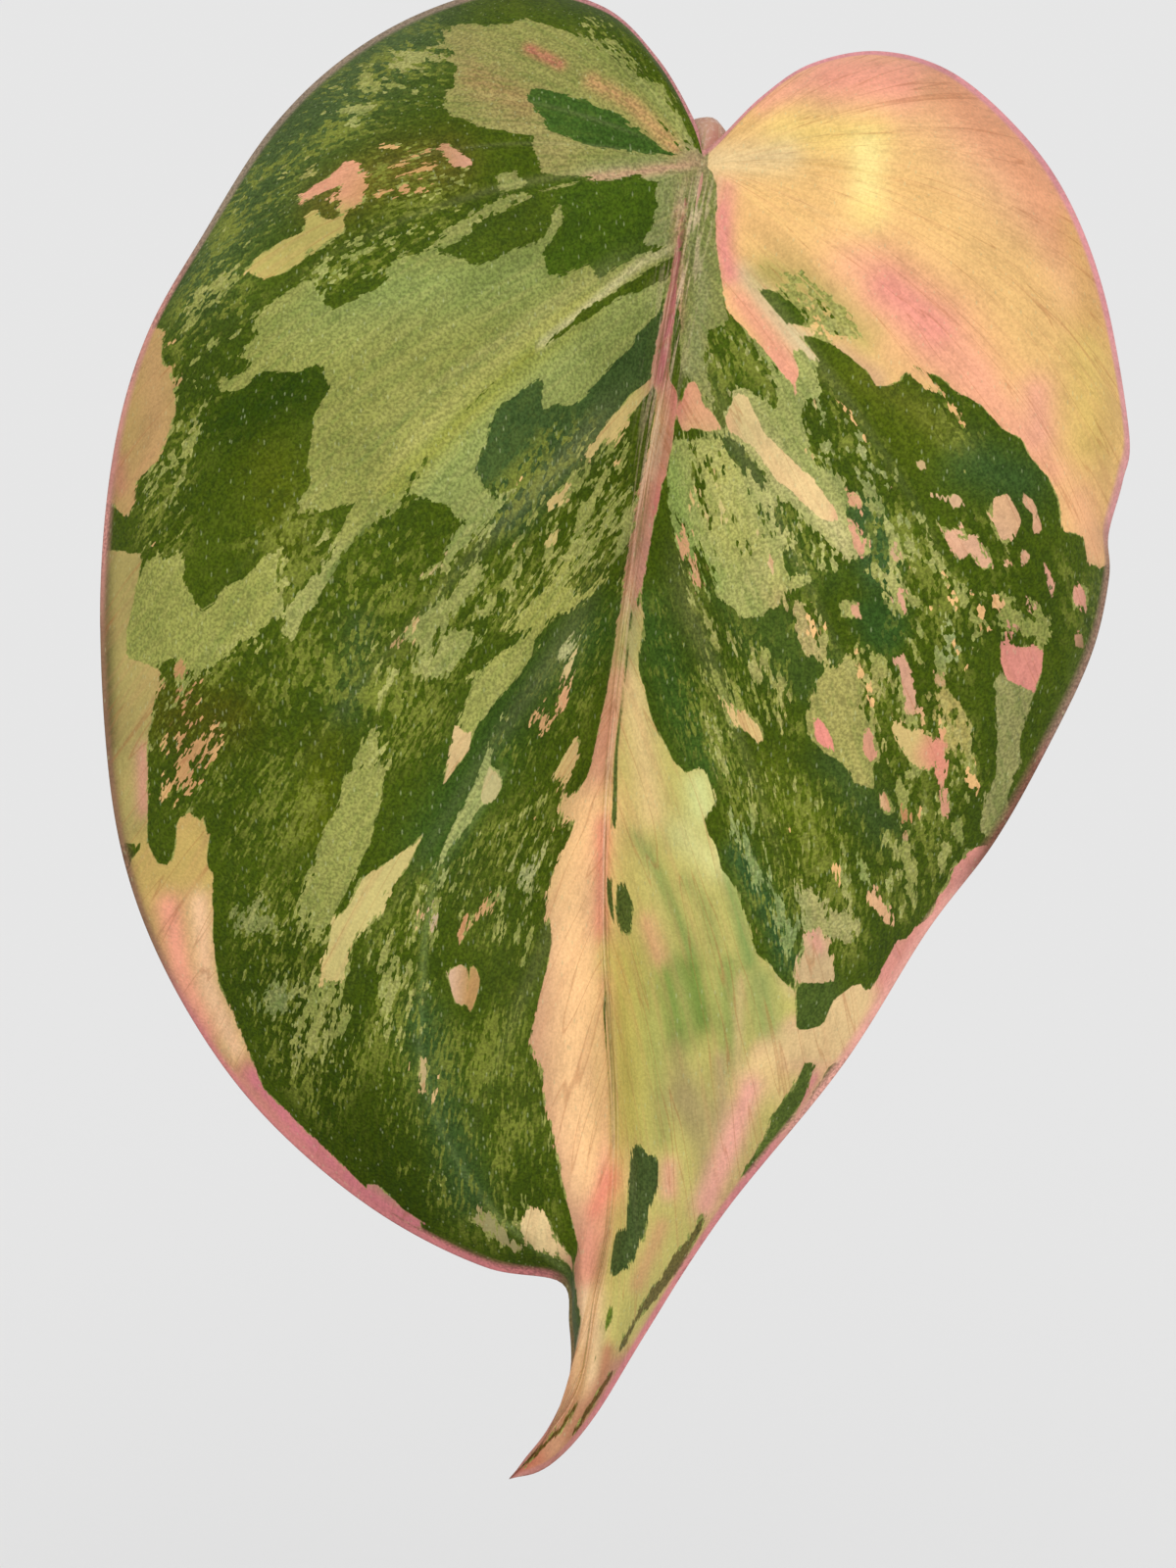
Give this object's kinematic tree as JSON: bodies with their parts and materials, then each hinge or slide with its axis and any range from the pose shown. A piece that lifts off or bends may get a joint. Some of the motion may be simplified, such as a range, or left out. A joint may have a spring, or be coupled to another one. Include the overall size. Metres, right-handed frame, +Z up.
{
  "type": "potted pink velvet leaf philodendron",
  "caption": "Young variegated velvet-leaf philodendron: heart-shaped green, cream and pink leaves on an arching vine, in soil in a plain round stoneware pot.",
  "frame": {"origin": "centre of the pot's underside, on the surface that it stands on", "axes": "+Z up along the pot, -Y towards the viewer of the front leaf, +X to the right"},
  "size_m": [0.1864, 0.1427, 0.2356],
  "materials": {
    "pot": "satin",
    "soil": "matte",
    "stem": "satin",
    "leaf": "satin",
    "shoot": "satin"
  },
  "bodies": {
    "root": {"pot": "pot", "soil": "soil", "stem_main": "stem", "stem_back": "stem", "stem_front": "stem", "leaf_front": "leaf", "leaf_low_left": "leaf", "leaf_back_left": "leaf", "leaf_left": "leaf", "leaf_back": "leaf", "leaf_top": "leaf", "leaf_young": "leaf", "leaf_right": "leaf", "leaf_back_right": "leaf", "leaf_low_front": "leaf", "shoot_main": "shoot", "shoot_back": "shoot", "shoot_front": "shoot"}
  },
  "joints": []
}
